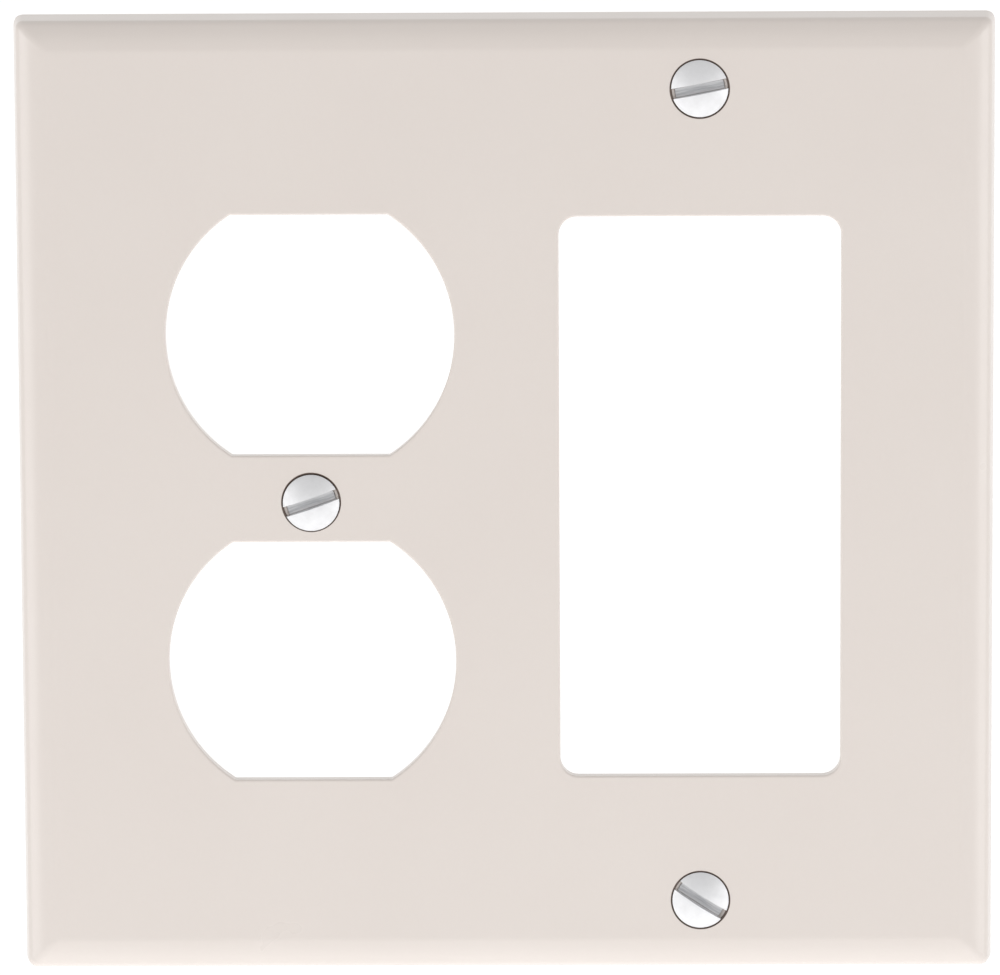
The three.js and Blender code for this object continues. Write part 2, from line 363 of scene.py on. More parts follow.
def combined(base: bpy.types.Mesh, others: list[bpy.types.Mesh], how: Cut) -> bpy.types.Mesh:
    """Joins solids to a base solid, or cuts them out of it.

    Args:
        base: The solid that is changed.
        others: The solids that are joined or cut away.
        how: Whether they are joined or cut away.

    Returns:
        The new solid.
    """
    scene = bpy.context.scene.collection
    body = bpy.data.objects.new("work_body", base)
    scene.objects.link(body)
    tools = bpy.data.collections.new("work_tools")
    scene.children.link(tools)
    for other in others:
        tools.objects.link(bpy.data.objects.new("work_tool", other))
    change = body.modifiers.new("change", "BOOLEAN")
    change.operation = how.value
    change.operand_type = "COLLECTION"
    change.collection = tools
    change.solver = "EXACT"
    bpy.context.view_layer.update()
    made = bpy.data.meshes.new_from_object(body.evaluated_get(bpy.context.evaluated_depsgraph_get()))
    for thing in [body, *tools.objects]:
        bpy.data.objects.remove(thing)
    bpy.data.collections.remove(tools)
    work = bmesh.new()
    work.from_mesh(made)
    bmesh.ops.remove_doubles(work, verts=work.verts, dist=5e-7)
    bmesh.ops.dissolve_degenerate(work, edges=work.edges, dist=5e-7)
    work.to_mesh(made)
    work.free()
    return made


def piece(
    name: str, mesh: bpy.types.Mesh, body: str, node: str, crease: float
) -> bpy.types.Object:
    """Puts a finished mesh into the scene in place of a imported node.

    Args:
        name: Name of the piece.
        mesh: Its mesh, already in place.
        body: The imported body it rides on.
        node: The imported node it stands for.
        crease: Angle in degrees past which two faces meet in a sharp edge.

    Returns:
        The piece's object.
    """
    mesh.name = name
    made = bpy.data.objects.new(name, mesh)
    bpy.context.scene.collection.objects.link(made)
    mesh.shade_smooth()
    mesh.set_sharp_from_angle(angle=math.radians(crease))
    level = made.modifiers.new("even_normals", "WEIGHTED_NORMAL")
    level.keep_sharp = True
    level.weight = 80
    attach(made, body)
    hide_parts(node)
    open_edges = int(sum(1 for edge in open_edge_counts(mesh) if edge != 2))
    log.info("%s: %d faces, %d edges not shared by two faces", name, len(mesh.polygons), open_edges)
    return made


def dress(made: bpy.types.Object, material: bpy.types.Material) -> None:
    """Gives a piece one material in place of those it has.

    Args:
        made: The piece.
        material: Its new material.
    """
    made.data.materials.clear()
    made.data.materials.append(material)


def open_edge_counts(mesh: bpy.types.Mesh) -> np.ndarray:
    """Counts the faces that meet at each edge of a mesh.

    Args:
        mesh: The mesh to look at.

    Returns:
        One count for each edge.
    """
    used = np.zeros(len(mesh.loops), np.int64)
    mesh.loops.foreach_get("edge_index", used)
    return np.bincount(used, minlength=len(mesh.edges))


# ---------------------------------------------------------------- finishes


class Nodes:
    """Adds nodes to one material and joins them."""

    def __init__(self, name: str) -> None:
        """Starts an empty material.

        Args:
            name: Name of the material.
        """
        self.material = bpy.data.materials.new(name)
        self.material.use_nodes = True
        self.tree = self.material.node_tree
        self.tree.nodes.clear()
        self.shader = self.add("ShaderNodeBsdfPrincipled")
        output = self.add("ShaderNodeOutputMaterial")
        self.join(self.shader.outputs["BSDF"], output.inputs["Surface"])

    def add(self, kind: str, **inputs: object) -> bpy.types.Node:
        """Adds a node and sets its inputs.

        Args:
            kind: The node's type.
            inputs: Input names, with low lines for spaces, and their values.

        Returns:
            The node.
        """
        node = self.tree.nodes.new(kind)
        for name, value in inputs.items():
            node.inputs[name.replace("_", " ")].default_value = value
        return node

    def join(self, source: bpy.types.NodeSocket, target: bpy.types.NodeSocket) -> None:
        """Joins an output to an input."""
        self.tree.links.new(source, target)

    def place(
        self,
        centre: tuple[float, float, float] = (0, 0, 0),
        scale: tuple[float, float, float] = (1, 1, 1),
        turn: float = 0.0,
    ) -> bpy.types.NodeSocket:
        """Gives the object's own coordinates, centred, turned and stretched.

        Args:
            centre: The point, in metres, that becomes the origin.
            scale: How far a pattern is stretched along each axis.
            turn: Anticlockwise turn seen from the room, in degrees.

        Returns:
            The socket that carries the coordinates.
        """
        source = self.add("ShaderNodeTexCoord")
        mapping = self.add("ShaderNodeMapping")
        mapping.vector_type = "TEXTURE"
        mapping.inputs["Location"].default_value = centre
        mapping.inputs["Rotation"].default_value = (0, -math.radians(turn), 0)
        mapping.inputs["Scale"].default_value = scale
        self.join(source.outputs["Object"], mapping.inputs["Vector"])
        return mapping.outputs["Vector"]

    def noise(
        self, place: bpy.types.NodeSocket, scale: float, detail: float, rough: float = 0.5
    ) -> bpy.types.NodeSocket:
        """Cloudy noise.

        Args:
            place: Coordinates to read it at.
            scale: Features per metre.
            detail: How many finer layers are added.
            rough: How strong the finer layers are.

        Returns:
            The socket that carries its value.
        """
        node = self.add("ShaderNodeTexNoise", Scale=scale, Detail=detail, Roughness=rough)
        self.join(place, node.inputs["Vector"])
        return node.outputs["Fac"]

    def ranged(
        self,
        value: bpy.types.NodeSocket,
        low: float,
        high: float,
        start: float = 0.0,
        end: float = 1.0,
    ) -> bpy.types.NodeSocket:
        """Maps a value from start to end onto low to high.

        Args:
            value: The value to map.
            low: What start becomes.
            high: What end becomes.
            start: Low end of the value's range.
            end: High end of the value's range.

        Returns:
            The socket that carries the mapped value.
        """
        node = self.add("ShaderNodeMapRange", From_Min=start, From_Max=end, To_Min=low, To_Max=high)
        self.join(value, node.inputs["Value"])
        return node.outputs["Result"]

    def beyond(
        self, value: bpy.types.NodeSocket, band: tuple[float, float]
    ) -> bpy.types.NodeSocket:
        """Rises from nought to one as a length passes through a band.

        Args:
            value: The length, in metres.
            band: Start and end of the band, in millimetres.

        Returns:
            The socket that carries the share.
        """
        return self.ranged(value, 0, 1, band[0] * MM, band[1] * MM)

    def before(
        self, value: bpy.types.NodeSocket, band: tuple[float, float]
    ) -> bpy.types.NodeSocket:
        """Falls from one to nought as a length passes through a band.

        Args:
            value: The length, in metres.
            band: Start and end of the band, in millimetres.

        Returns:
            The socket that carries the share.
        """
        return self.ranged(value, 1, 0, band[0] * MM, band[1] * MM)

    def all_of(self, *shares: bpy.types.NodeSocket) -> bpy.types.NodeSocket:
        """Multiplies shares, so that the result shows only where all of them do.

        Args:
            shares: The sockets that carry the shares.

        Returns:
            The socket that carries the product.
        """
        product = shares[0]
        for share in shares[1:]:
            product = self.math("MULTIPLY", product, share)
        return product

    def mixed(
        self, share: bpy.types.NodeSocket, first: object, second: object
    ) -> bpy.types.NodeSocket:
        """Mixes two colours by a share.

        Args:
            share: How much of the second colour there is.
            first: Colour at nought, as three numbers or a socket.
            second: Colour at one, as three numbers or a socket.

        Returns:
            The socket that carries the mixed colour.
        """
        node = self.tree.nodes.new("ShaderNodeMix")
        node.data_type = "RGBA"
        self.join(share, node.inputs["Factor"])
        for number, colour in ((6, first), (7, second)):
            if isinstance(colour, bpy.types.NodeSocket):
                self.join(colour, node.inputs[number])
            else:
                node.inputs[number].default_value = (*colour, 1.0)
        return node.outputs[2]

    def math(self, kind: str, first: object, second: object) -> bpy.types.NodeSocket:
        """One sum of two values, each a socket or a number.

        Args:
            kind: The sum's name.
            first: Its first value.
            second: Its second value.

        Returns:
            The socket that carries the result.
        """
        node = self.tree.nodes.new("ShaderNodeMath")
        node.operation = kind
        for number, value in enumerate((first, second)):
            if isinstance(value, bpy.types.NodeSocket):
                self.join(value, node.inputs[number])
            else:
                node.inputs[number].default_value = value
        return node.outputs[0]

    def from_axis(self, axis: tuple[float, float]) -> tuple[bpy.types.NodeSocket, bpy.types.NodeSocket]:
        """Distance from an axis that runs through the plate, and depth along it.

        Args:
            axis: The x and z of the axis, in metres.

        Returns:
            The sockets that carry the distance and the depth.
        """
        split = self.add("ShaderNodeSeparateXYZ")
        self.join(self.place((axis[0], 0, axis[1])), split.inputs[0])
        across, depth, up = split.outputs
        squares = self.math("ADD", self.math("MULTIPLY", across, across), self.math("MULTIPLY", up, up))
        return self.math("SQRT", squares, 0.0), depth

    def across(self, axis: tuple[float, float], turn: float) -> bpy.types.NodeSocket:
        """Distance to either side of a line through an axis, in the plate's plane.

        Args:
            axis: The x and z of the axis, in metres.
            turn: Anticlockwise turn of the line seen from the room, in degrees.

        Returns:
            The socket that carries the distance.
        """
        split = self.add("ShaderNodeSeparateXYZ")
        self.join(self.place((axis[0], 0, axis[1]), turn=turn), split.inputs[0])
        return self.math("ABSOLUTE", split.outputs[2], 0.0)

    def bumps(self, heights: list[tuple[bpy.types.NodeSocket, float, float]]) -> None:
        """Stacks bump layers and joins the last to the shader.

        Args:
            heights: Each layer's height, its strength and its depth in metres.
        """
        last = None
        for height, strength, distance in heights:
            node = self.add("ShaderNodeBump", Strength=strength, Distance=distance)
            self.join(height, node.inputs["Height"])
            if last is not None:
                self.join(last, node.inputs["Normal"])
            last = node.outputs["Normal"]
        self.join(last, self.shader.inputs["Normal"])


@dataclass(frozen=True)
class MouldedPlastic:
    """Gloss moulded plastic with faint flow clouds, a slight orange peel and painted shade at each
    countersink's mouth.

    Attributes:
        pale: Colour where the pigment lies thin.
        deep: Colour where the pigment lies thick.
        gloss: Lowest roughness of the surface.
        dull: Highest roughness, where handling has dulled it.
        ring: Colour of the painted shade in the gap at each countersink's mouth.
        mouth_shade_start: Radii between which the painted shade begins.
        mouth_shade_end: Radii between which it ends, past the countersink's own.
        mouth_shade_depth: Depths under the face between which it fades.
    """

    pale: tuple[float, float, float] = (0.632, 0.580, 0.546)
    deep: tuple[float, float, float] = (0.613, 0.558, 0.524)
    gloss: float = 0.27
    dull: float = 0.33
    # Painted shade in the gap between each screw head and its countersink.
    ring: tuple[float, float, float] = (0.105, 0.075, 0.06)
    mouth_shade_start: tuple[float, float] = (3.18, 3.30)
    mouth_shade_end: tuple[float, float] = (0.01, 0.05)
    mouth_shade_depth: tuple[float, float] = (0.25, 0.4)

    def material(self, name: str) -> bpy.types.Material:
        """Builds the material.

        Args:
            name: Name of the material.

        Returns:
            The material.
        """
        nodes = Nodes(name)
        place = nodes.place()
        clouds = nodes.noise(place, 45.0, 3.0)
        grains = nodes.noise(place, 2600.0, 2.0)
        faint = nodes.math("MULTIPLY", grains, 0.3)
        share = nodes.math("ADD", nodes.math("MULTIPLY", clouds, 0.7), faint)
        pigment = nodes.mixed(nodes.ranged(share, 0, 1, 0.2, 0.8), self.pale, self.deep)
        # Painted shade darkens the plastic at each countersink's mouth.
        colour = nodes.mixed(self.mouth_shade_share(nodes), pigment, self.ring)
        nodes.join(colour, nodes.shader.inputs["Base Color"])
        smears = nodes.noise(place, 90.0, 3.0)
        roughness = nodes.ranged(smears, self.gloss, self.dull, 0.2, 0.8)
        nodes.join(roughness, nodes.shader.inputs["Roughness"])
        nodes.shader.inputs["IOR"].default_value = 1.5
        peel = nodes.noise(place, 700.0, 2.0)
        nodes.bumps([(peel, 0.10, 0.00002), (grains, 0.05, 0.00001)])
        return nodes.material

    def mouth_shade_share(self, nodes: Nodes) -> bpy.types.NodeSocket:
        """How much painted shade darkens the mouth of each countersink, in the gap round the screw's
        head.

        It is full between the head's edge and the mouth's edge and fades just
        past both. Only the plate's front takes it.

        Args:
            nodes: The material's nodes.

        Returns:
            The socket that carries the share.
        """
        end = tuple(SINK_RADIUS + past for past in self.mouth_shade_end)
        fade = tuple(FACE_Y + under for under in self.mouth_shade_depth)
        total = None
        for place in SCREW_PLACES:
            radius, depth = nodes.from_axis((place.x * MM, place.z * MM))
            inner = nodes.beyond(radius, self.mouth_shade_start)
            share = nodes.all_of(inner, nodes.before(radius, end), nodes.before(depth, fade))
            total = share if total is None else nodes.math("ADD", total, share)
        return total


@dataclass(frozen=True)
class TurnedSteel:
    """Bright plated steel with the fine rings that turning leaves, and painted shade in its slot and
    thread roots.

    Attributes:
        bright: Colour of the clean plating.
        stained: Colour where the plating is stained.
        scraped_and_shaded: Darkest colour of the streaks on the slot's floor, dark partly as painted
            shade of the sunk floor.
        slot_corner_shade: Colour of the painted shade in the corners of the slot's floor.
        root_shade: Colour of the painted shade in the thread's root.
        streak_edge: From the slot's middle to where its streaks fade.
        slot_corner_shade_edge: From the slot's middle to where the painted shade begins.
        slot_edge: From the slot's middle to its walls.
        floor_start: Depths under the face between which the slot's floor begins.
        floor_end: Depths under the face between which it ends.
        root_edge: Radii between which the painted shade in the root fades.
        shank_start: Depths under the face between which the painted shade begins.
        tip_start: Depths behind the wall plane between which it ends.
        gloss: Lowest roughness.
        dull: Highest roughness.
        metal: How far the shading is a metal's.
        ring: Distance from one turning mark to the next, in metres.
    """

    bright: tuple[float, float, float] = (0.71, 0.71, 0.725)
    stained: tuple[float, float, float] = (0.655, 0.655, 0.665)
    # The slot floor's streaks are dark partly as painted shade of the recess.
    scraped_and_shaded: tuple[float, float, float] = (0.40, 0.41, 0.43)
    # Painted shade in the corners of the slot's floor.
    slot_corner_shade: tuple[float, float, float] = (0.22, 0.20, 0.19)
    # Painted shade in the thread's roots.
    root_shade: tuple[float, float, float] = (0.20, 0.19, 0.18)
    gloss: float = 0.48
    dull: float = 0.62
    metal: float = 0.55
    ring: float = 0.00016
    streak_edge: tuple[float, float] = (0.24, 0.40)
    slot_corner_shade_edge: tuple[float, float] = (0.47, 0.56)
    slot_edge: tuple[float, float] = (0.60, 0.64)
    floor_start: tuple[float, float] = (0.40, 0.52)
    floor_end: tuple[float, float] = (0.58, 0.62)
    root_edge: tuple[float, float] = (1.34, 1.62)
    shank_start: tuple[float, float] = (2.2, 2.4)
    tip_start: tuple[float, float] = (6.9, 7.0)

    def material(self, name: str, axis: tuple[float, float], slot_turn: float) -> bpy.types.Material:
        """Builds the material for a screw that stands on its own axis.

        Args:
            name: Name of the material.
            axis: The x and z of the screw's axis, in metres.
            slot_turn: Angle of the slot, in degrees.

        Returns:
            The material.
        """
        nodes = Nodes(name)
        place = nodes.place((axis[0], 0, axis[1]))
        radius, depth = nodes.from_axis(axis)
        wobble = nodes.noise(place, 2500.0, 2.0)
        turns = nodes.math("DIVIDE", radius, self.ring)
        path = nodes.math("ADD", turns, nodes.math("MULTIPLY", wobble, 0.8))
        rings = nodes.math("SINE", nodes.math("MULTIPLY", path, 2 * math.pi), 0.0)
        stains = nodes.noise(place, 900.0, 4.0, 0.6)
        pits = nodes.noise(place, 9000.0, 2.0)
        along = nodes.place((axis[0], 0, axis[1]), (12.0, 1.0, 1.0), slot_turn)
        streaks = nodes.noise(along, 5200.0, 2.0, 0.6)
        plating = nodes.mixed(nodes.ranged(stains, 0, 1, 0.35, 0.85), self.bright, self.stained)
        across = nodes.across(axis, slot_turn)
        # The slot's floor: scrape streaks darkened partly as painted shade, then painted shade towards
        # its walls.
        middle = nodes.mixed(nodes.ranged(streaks, 0, 1, 0.3, 0.7), self.scraped_and_shaded, self.stained)
        lighter = nodes.mixed(nodes.beyond(across, self.streak_edge), middle, self.stained)
        floor = nodes.mixed(nodes.beyond(across, self.slot_corner_shade_edge), lighter, self.slot_corner_shade)
        start, end, shank = (
            tuple(FACE_Y + under for under in band)
            for band in (self.floor_start, self.floor_end, self.shank_start)
        )
        sunk = nodes.all_of(
            nodes.beyond(depth, start),
            nodes.before(depth, end),
            nodes.before(across, self.slot_edge),
        )
        # Painted shade in the thread's roots, from the shank to near the tip.
        root_shaded = nodes.all_of(
            nodes.before(radius, self.root_edge),
            nodes.beyond(depth, shank),
            nodes.before(depth, self.tip_start),
        )
        colour = nodes.mixed(root_shaded, nodes.mixed(sunk, plating, floor), self.root_shade)
        nodes.join(colour, nodes.shader.inputs["Base Color"])
        nodes.shader.inputs["Metallic"].default_value = self.metal
        roughness = nodes.ranged(stains, self.gloss, self.dull, 0.2, 0.8)
        nodes.join(roughness, nodes.shader.inputs["Roughness"])
        nodes.bumps([(rings, 0.06, 0.00001), (pits, 0.10, 0.00001)])
        return nodes.material


@dataclass(frozen=True)
class NaturalNylon:
    """Cloudy nylon that lets a little light in.

    Attributes:
        pale: Colour of the thin parts.
        deep: Colour of the cloudy parts.
        gloss: Lowest roughness.
        dull: Highest roughness.
    """

    pale: tuple[float, float, float] = (0.86, 0.84, 0.79)
    deep: tuple[float, float, float] = (0.78, 0.75, 0.68)
    gloss: float = 0.38
    dull: float = 0.55

    def material(self, name: str) -> bpy.types.Material:
        """Builds the material.

        Args:
            name: Name of the material.

        Returns:
            The material.
        """
        nodes = Nodes(name)
        place = nodes.place()
        clouds = nodes.noise(place, 500.0, 3.0)
        colour = nodes.mixed(nodes.ranged(clouds, 0, 1, 0.35, 0.65), self.pale, self.deep)
        nodes.join(colour, nodes.shader.inputs["Base Color"])
        roughness = nodes.ranged(clouds, self.gloss, self.dull, 0.3, 0.7)
        nodes.join(roughness, nodes.shader.inputs["Roughness"])
        nodes.shader.inputs["Subsurface Weight"].default_value = 0.25
        nodes.shader.inputs["Subsurface Scale"].default_value = 0.0005
        nodes.bumps([(nodes.noise(place, 3500.0, 3.0), 0.15, 0.00001)])
        return nodes.material


# --------------------------------------------------------------- faceplate


@dataclass(frozen=True)
class ScrewPlace:
    """Where one mounting screw goes.

    Attributes:
        name: First part of the names of its pieces.
        x: Its hole's place across the plate.
        z: Its hole's place up the plate.
        sag: How far the screw hangs below the middle of its hole.
        slot_turn: Angle of its slot, in degrees.
    """

    name: str
    x: float
    z: float
    sag: float
    slot_turn: float


GANG_X = 1.8125 * INCH / 2
FACE_Y = -5.6
HEAD_RADIUS = 3.35
HEAD_LAND = 0.05
CONE_ANGLE = 41.0
SINK_GAP = 0.13
SINK_RADIUS = HEAD_RADIUS + HEAD_LAND * math.tan(math.radians(CONE_ANGLE)) + SINK_GAP
ROUND_STEPS = 72
DECORATOR_SCREW_Z = 3.812 * INCH / 2
SCREW_PLACES = (
    ScrewPlace("duplex", -GANG_X, -0.4, 0.07, 19.0),
    ScrewPlace("decorator_upper", GANG_X, DECORATOR_SCREW_Z, 0.0, 11.0),
    ScrewPlace("decorator_lower", GANG_X, -DECORATOR_SCREW_Z, 0.0, -33.0),
)


@dataclass
class Faceplate:
    """The moulded plate: bowed border, openings, countersinks, ribs and bosses.

    Attributes:
        width: Size across.
        height: Size up.
        panel: Thickness of the flat panel.
        corner: Radius of the plan's corners at the rim.
        corner_face: Radius of the mitred corners where they reach the face.
        side_draft: How far the sides lean in.
        shoulder_drop: From the face to the shoulder.
        bevel: Width of the sloping border.
        bow: How far the border's slope bulges out of a straight line.
        rim: Width of the rim that touches the wall.
        duplex_diameter: Diameter of the circle of a duplex opening.
        duplex_span: Height of a duplex opening between its flat cuts.
        duplex_bridge: Height of the bridge between the duplex openings.
        duplex_corner: Radius of a duplex opening's corners.
        decorator_width: Width of the decorator opening.
        decorator_height: Height of the decorator opening.
        decorator_corner: Radius of the decorator opening's corners.
        lip: Radius of the edge round every opening.
        hole_radius: Radius of a screw hole.
        boss_height: How far a boss stands off the panel's back.
        boss_wall: Width of a boss outside its countersink's mouth.
        rib_height: How far a rib stands off the panel's back.
        rib_thickness: Thickness of a rib.
        well_margin: From a gang's openings to the rib round them.
        well_corner: Corner radius of that rib.
        cross_rib_spacing: From one cross rib to the other in a gang.
        boss_rib_spacing: Between the two ribs beside a boss.
        mark_radius: Radius of an ejector pin mark.
        mark_depth: Depth of an ejector pin mark.
        mark_inset: From the plate's edge to the middle of a mark.
        mark_spacing: From one mark to the next.
    """

    width: float = 4.5625 * INCH
    height: float = 4.5 * INCH
    panel: float = 2.0
    corner: float = 1.2
    corner_face: float = 0.35
    side_draft: float = 0.6
    shoulder_drop: float = 1.2
    bevel: float = 3.4
    bow: float = 0.30
    rim: float = 1.8
    duplex_diameter: float = 1.343 * INCH
    duplex_span: float = 1.125 * INCH
    duplex_bridge: float = 0.406 * INCH
    duplex_corner: float = 0.5
    decorator_width: float = 1.31 * INCH
    decorator_height: float = 2.63 * INCH
    decorator_corner: float = 2.2
    lip: float = 0.25
    hole_radius: float = 2.0
    boss_height: float = 0.45
    boss_wall: float = 0.9
    rib_height: float = 2.0
    rib_thickness: float = 1.2
    well_margin: float = 1.6
    well_corner: float = 5.0
    cross_rib_spacing: float = 40.0
    boss_rib_spacing: float = 20.0
    mark_radius: float = 2.5
    mark_depth: float = 0.2
    mark_inset: float = 8.5
    mark_spacing: float = 42.0
    finish: MouldedPlastic = field(default_factory=MouldedPlastic)

    @property
    def back(self) -> float:
        """Depth of the panel's back."""
        return FACE_Y + self.panel

    def border(self) -> np.ndarray:
        """Rings of the border, from the face round the rim to the panel's back.

        The profile runs over the bowed slope, down the leaning side, round
        the rim and up the hollow's wall. Ring j is a rounded rectangle inset
        by the profile's distance j, whose corner radius shrinks from the rim's
        to the face's as the inset grows.

        Returns:
            Rings of points in millimetres.
        """
        shoulder = (self.side_draft, FACE_Y + self.shoulder_drop)
        face = (self.side_draft + self.bevel, FACE_Y)
        middle = ((shoulder[0] + face[0]) / 2 - 0.35 * self.bow, (shoulder[1] + face[1]) / 2 - self.bow)
        inner = (self.rim + 0.3, self.back + self.shoulder_drop)
        profile = rounded_profile(
            [
                (face[0] + 0.45, FACE_Y, 0),
                (*face, 3.0),
                (*middle, 6.0),
                (*shoulder, 1.2),
                (0, 0, 0.12),
                (self.rim, 0, 0.12),
                (*inner, 0.5),
                (inner[0] + self.bevel, self.back, 0.8),
                (inner[0] + self.bevel + 0.3, self.back, 0),
            ],
            6.0,
        )
        inset, depth = profile[:, 0], profile[:, 1]
        outside = np.arange(len(profile)) < np.argmin(np.abs(inset) + np.abs(depth))
        share = np.clip(inset / (self.side_draft + self.bevel), 0, 1) ** 0.6
        radius = np.where(outside, self.corner + (self.corner_face - self.corner) * share, 1.0)
        rings = [
            Outline.rectangle(0, 0, self.width - 2 * i, self.height - 2 * i, r, 10).points
            for i, r in zip(inset, radius)
        ]
        plan = np.stack(rings)
        depths = np.broadcast_to(depth[:, None], plan.shape[:2])
        return np.stack([plan[..., 0], depths, plan[..., 1]], axis=-1)

    def openings(self) -> list[Outline]:
        """Outlines of the two duplex openings and the decorator opening."""
        pitch = self.duplex_span + self.duplex_bridge
        duplex = [
            Outline.clipped_circle(
                Gang.DUPLEX.value * GANG_X,
                side * pitch / 2,
                self.duplex_diameter,
                self.duplex_span,
                self.duplex_corner,
                40,
            )
            for side in (-1, 1)
        ]
        decorator = Outline.rectangle(
            Gang.DECORATOR.value * GANG_X,
            0,
            self.decorator_width,
            self.decorator_height,
            self.decorator_corner,
            12,
        )
        return [*duplex, decorator]

    def opening_profile(self) -> np.ndarray:
        """Profile of an opening's edge: rounded lip, wall and back edge."""
        return rounded_profile(
            [
                (self.lip + 0.3, FACE_Y, 0),
                (0, FACE_Y, self.lip),
                (0.02, self.back, 0.06),
                (0.14, self.back, 0),
            ]
        )

    def hole_cutter(self, place: ScrewPlace) -> bpy.types.Mesh:
        """The solid that cuts a screw hole: eased mouth, countersink and bore.

        Args:
            place: The screw that goes through the hole.

        Returns:
            The cutter as a closed mesh.
        """
        sink, bore, ease = SINK_RADIUS, self.hole_radius, 0.05
        cone_end = FACE_Y + (sink - bore) / math.tan(math.radians(CONE_ANGLE))
        rear = self.back + self.boss_height
        profile = np.concatenate(
            [
                [(sink + 0.8, FACE_Y - 0.6), (sink + ease, FACE_Y - 0.1 * ease)],
                [(sink + 0.35 * ease, FACE_Y + 0.25 * ease)],
                rounded_profile(
                    [
                        (sink - 0.7 * ease, FACE_Y + 0.9 * ease, 0),
                        (bore, cone_end, 0.1),
                        (bore, rear - ease, 0),
                    ]
                ),
                [
                    (bore + 0.3 * ease, rear - 0.3 * ease),
                    (bore + ease, rear + 0.1 * ease),
                    (bore + 0.5, rear + 0.8),
                ],
            ]
        )
        circle = Outline.circle(place.x, place.z, 0, ROUND_STEPS)
        return Shell().capped(circle.carry(profile), "hole_cutter")

    def boss(self, place: ScrewPlace) -> bpy.types.Mesh:
        """The round pad behind a screw hole, sunk into the panel.

        Args:
            place: The screw that goes through the pad.

        Returns:
            The pad as a closed mesh, still without its bore.
        """
        radius = SINK_RADIUS + self.boss_wall
        rear = self.back + self.boss_height
        corners = [(radius, self.back - 0.4, 0), (radius, rear, 0.12), (0.5, rear, 0)]
        circle = Outline.circle(place.x, place.z, 0, ROUND_STEPS)
        return Shell().capped(circle.carry(rounded_profile(corners)), "boss")

    def mark_profile(self) -> np.ndarray:
        """Profile of an ejector pin mark, from the panel's back into it."""
        floor = self.back - self.mark_depth
        return rounded_profile(
            [
                (self.mark_radius + 0.12, self.back, 0),
                (self.mark_radius, self.back, 0.04),
                (self.mark_radius - 0.02, floor, 0.04),
                (self.mark_radius - 0.2, floor, 0),
            ]
        )

    def shell(self) -> bpy.types.Mesh:
        """Builds the plate without its ribs as one closed mesh."""
        shell = Shell()
        border = shell.strip(self.border())
        front, back = [], []
        for outline in self.openings():
            rings = shell.strip(outline.carry(self.opening_profile()))
            front.append(rings[0])
            back.append(rings[-1])
        for side in (-1, 1):
            for row in (-1, 0, 1):
                x = side * (self.width / 2 - self.mark_inset)
                circle = Outline.circle(x, row * self.mark_spacing, 0, 48)
                rings = shell.strip(circle.carry(self.mark_profile()))
                back.append(rings[0])
                shell.fill(rings[-1], [])
        shell.fill(border[0], front)
        shell.fill(border[-1], back)
        return shell.mesh("plate_shell")

    def rib_section(self) -> np.ndarray:
        """Section of a rib: drafted sides and a rounded top, sunk in the panel."""
        half, draft = self.rib_thickness / 2, 0.1
        foot, top = self.back - 0.4, self.back + self.rib_height
        side = rounded_profile([(half + draft, foot, 0), (half - draft, top, 0.2), (0, top, 0)], 22.5)
        return np.concatenate([side, (side * np.array([-1, 1]))[-2::-1]])

    def straight_rib(self, start: tuple[float, float], end: tuple[float, float]) -> bpy.types.Mesh:
        """A rib along a straight line.

        Args:
            start: The x and z of one end.
            end: The x and z of the other end.

        Returns:
            The rib as a closed mesh.
        """
        section = self.rib_section()
        along = np.array([start, end], float)
        way = (along[1] - along[0]) / np.linalg.norm(along[1] - along[0])
        aside = np.array([way[1], -way[0]])
        plan = along[:, None] + section[None, :, 0, None] * aside
        depth = np.broadcast_to(section[:, 1], plan.shape[:2])
        return Shell().capped(np.stack([plan[..., 0], depth, plan[..., 1]], axis=-1), "rib")

    def well_rib(self, x: float, width: float, height: float) -> bpy.types.Mesh:
        """A rib that runs round one gang's openings.

        Args:
            x: Middle of the gang.
            width: Width of the gang's openings.
            height: Height of the gang's openings.

        Returns:
            The rib as a closed mesh.
        """
        grow = 2 * self.well_margin + self.rib_thickness
        path = Outline.rectangle(x, 0, width + grow, height + grow, self.well_corner, 12)
        section = self.rib_section()
        closed = np.concatenate([section, section[:1]])
        shell = Shell()
        shell.strip(path.carry(closed))
        return shell.mesh("well_rib")

    def ribs(self) -> list[bpy.types.Mesh]:
        """Builds every rib behind the panel."""
        wall_x = self.width / 2 - self.rim - 0.15
        wall_z = self.height / 2 - self.rim - 0.15
        gangs = (
            (Gang.DUPLEX, self.duplex_diameter, 2 * self.duplex_span + self.duplex_bridge),
            (Gang.DECORATOR, self.decorator_width, self.decorator_height),
        )
        made = [self.straight_rib((0, -wall_z), (0, wall_z))]
        for gang, width, height in gangs:
            x = gang.value * GANG_X
            well_x = (width + self.rib_thickness) / 2 + self.well_margin
            well_z = (height + self.rib_thickness) / 2 + self.well_margin
            made.append(self.well_rib(x, width, height))
            for end in (-1, 1):
                z = end * self.cross_rib_spacing / 2
                made.append(self.straight_rib((0, z), (x - gang.value * well_x, z)))
                made.append(self.straight_rib((x + gang.value * well_x, z), (gang.value * wall_x, z)))
                for rib_x in (x - self.boss_rib_spacing / 2, x + self.boss_rib_spacing / 2):
                    made.append(self.straight_rib((rib_x, end * well_z), (rib_x, end * wall_z)))
        return made

    def build(self) -> bpy.types.Object:
        """Builds the plate, joins its ribs and gives it its finish."""
        raised = [*self.ribs(), *(self.boss(place) for place in SCREW_PLACES)]
        mesh = combined(self.shell(), raised, Cut.JOIN)
        mesh = combined(mesh, [self.hole_cutter(place) for place in SCREW_PLACES], Cut.REMOVE)
        made = piece("moulded_faceplate", mesh, "plate", "faceplate", 40)
        dress(made, self.finish.material("almond_moulding"))
        return made


# ------------------------------------------------------- screws and washers


